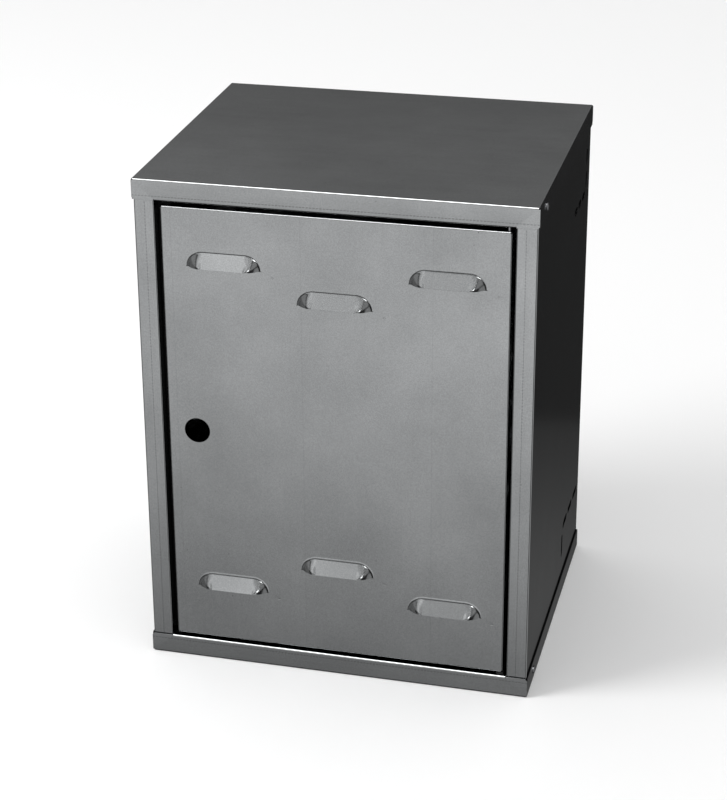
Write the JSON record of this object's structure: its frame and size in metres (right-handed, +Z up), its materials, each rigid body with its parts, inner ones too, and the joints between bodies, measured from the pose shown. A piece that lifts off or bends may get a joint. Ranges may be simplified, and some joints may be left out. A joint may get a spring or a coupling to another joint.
{
  "type": "standpipe cabinet",
  "caption": "Folded galvanised sheet-steel wall cabinet with a louvred door on corner pins, a lock hole, and dashed pipe knock-outs in its sides.",
  "frame": {"origin": "middle of the flat underside of the tray", "axes": "+Z up, the longest side; the door faces -Y and its hinge is at +X"},
  "size_m": [0.3832, 0.326, 0.5],
  "materials": {
    "galvanised_sheet": "skin-passed zinc coating, semi-gloss",
    "galvanised_door_sheet": "skin-passed zinc coating, semi-gloss",
    "zinc_plated_pin": "bright zinc plating",
    "spring_steel_clip": "oiled spring steel",
    "black_nylon": "moulded",
    "aluminium_rivet": "bright",
    "steel_mandrel": "snapped steel"
  },
  "bodies": {
    "cabinet": {"body_shell": "galvanised_sheet", "top_cap": "galvanised_sheet", "bottom_tray": "galvanised_sheet", "hinge_pin_top": "zinc_plated_pin", "hinge_pin_bottom": "zinc_plated_pin", "hinge_clip_top": "spring_steel_clip", "hinge_clip_bottom": "spring_steel_clip", "hinge_bush_bottom": "black_nylon", "rivet_top_left": "aluminium_rivet", "rivet_top_right": "aluminium_rivet", "rivet_bottom_left": "aluminium_rivet", "rivet_bottom_right": "aluminium_rivet", "rivet_mandrel_top_left": "steel_mandrel", "rivet_mandrel_top_right": "steel_mandrel", "rivet_mandrel_bottom_left": "steel_mandrel", "rivet_mandrel_bottom_right": "steel_mandrel"},
    "door": {"door_panel": "galvanised_door_sheet"}
  },
  "joints": [
    {"name": "door_hinge", "type": "hinge", "parent": "cabinet", "child": "door", "pos_m": [0.162, -0.1535, 0.25], "axis": [0, 0, 1], "range_deg": [0, 105]}
  ]
}
